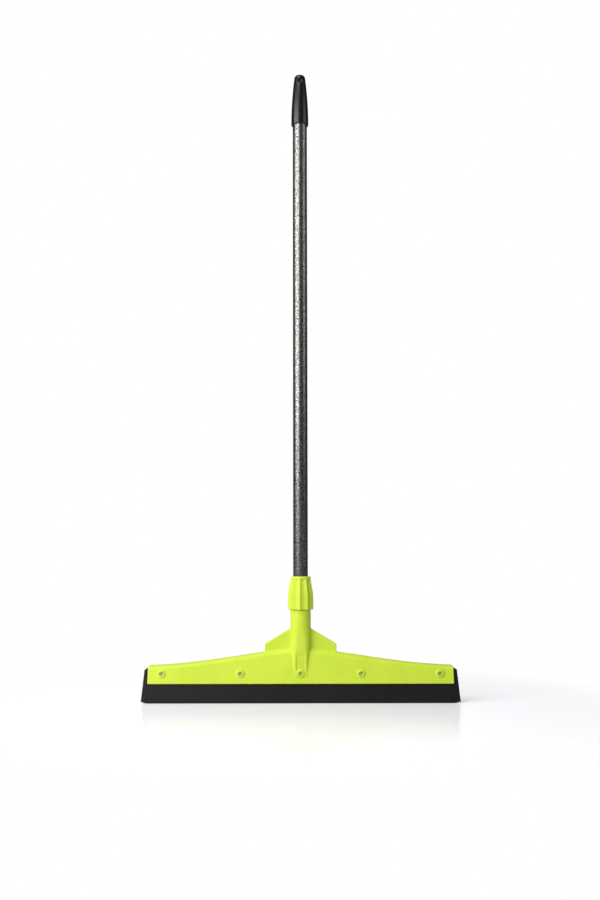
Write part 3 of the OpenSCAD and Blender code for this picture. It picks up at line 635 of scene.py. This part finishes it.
# The inside, from the top down: the exit, the collet's groove, the snap ridge and the thread
snap_foot = SNAP_Z - SNAP_TALL
for z, r in ((COLLAR_TOP_Z, EXIT_R + EXIT_EDGE), (COLLAR_TOP_Z - EXIT_EDGE, EXIT_R),
             (COLLET_ROOM_Z, EXIT_R), (COLLET_ROOM_Z, COLLET_ROOM_R), (SNAP_Z, COLLET_ROOM_R),
             (SNAP_Z, SNAP_R), (snap_foot, SNAP_R), (snap_foot, BORE_R)):
    collar_rings.append(ring_at(z, [r] * columns))
bearings = np.arctan2(np.sin(angles), np.cos(angles))
for step in range(BORE_STEPS + 1):
    z = BORE_TOP_Z - (BORE_TOP_Z - BORE_FOOT_Z) * step / BORE_STEPS
    ridge = thread_height(bearings, z, COLLAR_THREAD_Z, COLLAR_THREAD_RISE)
    collar_rings.append(ring_at(z, BORE_R - THREAD_DEEP * ridge))
collar_rings.append(ring_at(COLLAR_Z, [BORE_R + BORE_EDGE] * columns))
collar = mesh_piece("collar_moulding", [point for ring in collar_rings for point in ring],
                    ring_faces(len(collar_rings), columns), lime_moulded)
collar.data.set_sharp_from_angle(angle=COLLAR_SHARP)
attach(collar, "collar")
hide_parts("collar")

# STUDIO: a white floor that faintly mirrors the blade and fades into the white air round it,
# a large soft key light on the left, one overhead, a weak fill on the right, and a camera in front.
FLOOR_REACH = 3.0
FADE_FROM, FADE_TO = 0.33, 0.65    # metres from the middle, over which the floor turns into air
WHITE = (1, 1, 1, 1)

acrylic = new_material("white acrylic floor, polished")
seen = add_node(acrylic, "LightPath", {})
gloss = add_node(acrylic, "BsdfPrincipled", {"Base Color": srgb("#edecf3"), "Roughness": 0.24,
                                             "Specular IOR Level": 0.11})
glow = add_node(acrylic, "Emission", {"Color": WHITE, "Strength": 0.22})
lit = add_node(acrylic, "AddShader", {}, {0: gloss.outputs["BSDF"], 1: glow.outputs["Emission"]})
plain = add_node(acrylic, "MixShader", {}, {"Fac": seen.outputs["Is Camera Ray"],
                                            1: gloss.outputs["BSDF"], 2: lit.outputs["Shader"]})
spot = add_node(acrylic, "TexCoord", {}).outputs["Object"]
away = add_node(acrylic, "VectorMath", {"operation": "LENGTH"}, {0: spot})
far = add_node(acrylic, "MapRange", {"interpolation_type": "SMOOTHSTEP", "From Min": FADE_FROM,
                                     "From Max": FADE_TO}, {"Value": away.outputs["Value"]})
faded = add_node(acrylic, "Math", {"operation": "MULTIPLY"},
                 {0: far.outputs["Result"], 1: seen.outputs["Is Camera Ray"]})
clear = add_node(acrylic, "BsdfTransparent", {})
surface = add_node(acrylic, "MixShader", {}, {"Fac": faded.outputs["Value"],
                                              1: plain.outputs["Shader"], 2: clear.outputs["BSDF"]})
add_node(acrylic, "OutputMaterial", {}, {"Surface": surface.outputs["Shader"]})

floor_mesh = bpy.data.meshes.new("floor")
floor_mesh.from_pydata([(x * FLOOR_REACH, y * FLOOR_REACH, 0)
                        for x, y in ((-1, -1), (1, -1), (1, 1), (-1, 1))], [], [(0, 1, 2, 3)])
floor = put("floor", floor_mesh, acrylic)

# The air is white to the lens. To the object it is bright behind and dim in front, where the dark
# half of the room is, with one ramp from front to back for mirrored and one for scattered light
world = bpy.data.worlds.new("studio")
bpy.context.scene.world = world
world.use_nodes = True
world.node_tree.nodes.clear()
seen = add_node(world, "LightPath", {})
strength = add_node(world, "Math", {"operation": "MAXIMUM"},
                    {0: seen.outputs["Is Camera Ray"], 1: seen.outputs["Is Transmission Ray"]})
sky = add_node(world, "TexCoord", {}).outputs["Generated"]
direction = add_node(world, "SeparateXYZ", {}, {"Vector": sky})
for ray, front, back, dim, bright in (("Is Glossy Ray", 0.9, 0.97, 0.06, 1.0),
                                      ("Is Diffuse Ray", 0.0, 0.9, 0.04, 0.5)):
    level = add_node(world, "MapRange",
                     {"interpolation_type": "SMOOTHSTEP", "From Min": front, "From Max": back,
                      "To Min": dim, "To Max": bright}, {"Value": direction.outputs["Y"]})
    share = add_node(world, "Math", {"operation": "MULTIPLY"},
                     {0: seen.outputs[ray], 1: level.outputs["Result"]})
    strength = add_node(world, "Math", {"operation": "MAXIMUM"},
                        {0: strength.outputs["Value"], 1: share.outputs["Value"]})
air = add_node(world, "Background", {"Color": WHITE}, {"Strength": strength.outputs["Value"]})
add_node(world, "OutputWorld", {}, {"Surface": air.outputs["Background"]})

# Each lamp has its bearing from the front in degrees, its distance and height, the height that it
# aims at and its two sides in metres, and its power in watts
for lamp_name, azimuth, distance, height, aim, wide, tall, watts in (
        ("key", -50, 1.8, 1.25, 0.4, 2.0, 1.5, 47), ("top", -25, 1.0, 2.4, 0.2, 0.8, 0.6, 17),
        ("fill", 68, 2.2, 1.55, 0.5, 1.4, 1.5, 9)):
    lamp = bpy.data.lights.new(lamp_name, "AREA")
    lamp.shape = "RECTANGLE"
    lamp.size, lamp.size_y, lamp.energy = wide, tall, watts
    light = bpy.data.objects.new(lamp_name, lamp)
    bpy.context.scene.collection.objects.link(light)
    a = math.radians(azimuth)
    light.location = (distance * math.sin(a), -distance * math.cos(a), height)
    light.rotation_euler = (math.pi / 2 - math.atan2(height - aim, distance), 0, a)

lens = bpy.data.cameras.new("camera")
lens.lens, lens.sensor_width, lens.sensor_fit = 40.3, 36.0, "AUTO"
camera = bpy.data.objects.new("camera", lens)
bpy.context.scene.collection.objects.link(camera)
camera.location = (-0.0009, -1.787, 0.2522)
camera.rotation_euler = (math.radians(96), math.radians(0.09), 0)
bpy.context.scene.camera = camera
bpy.context.scene.view_settings.view_transform = "Standard"
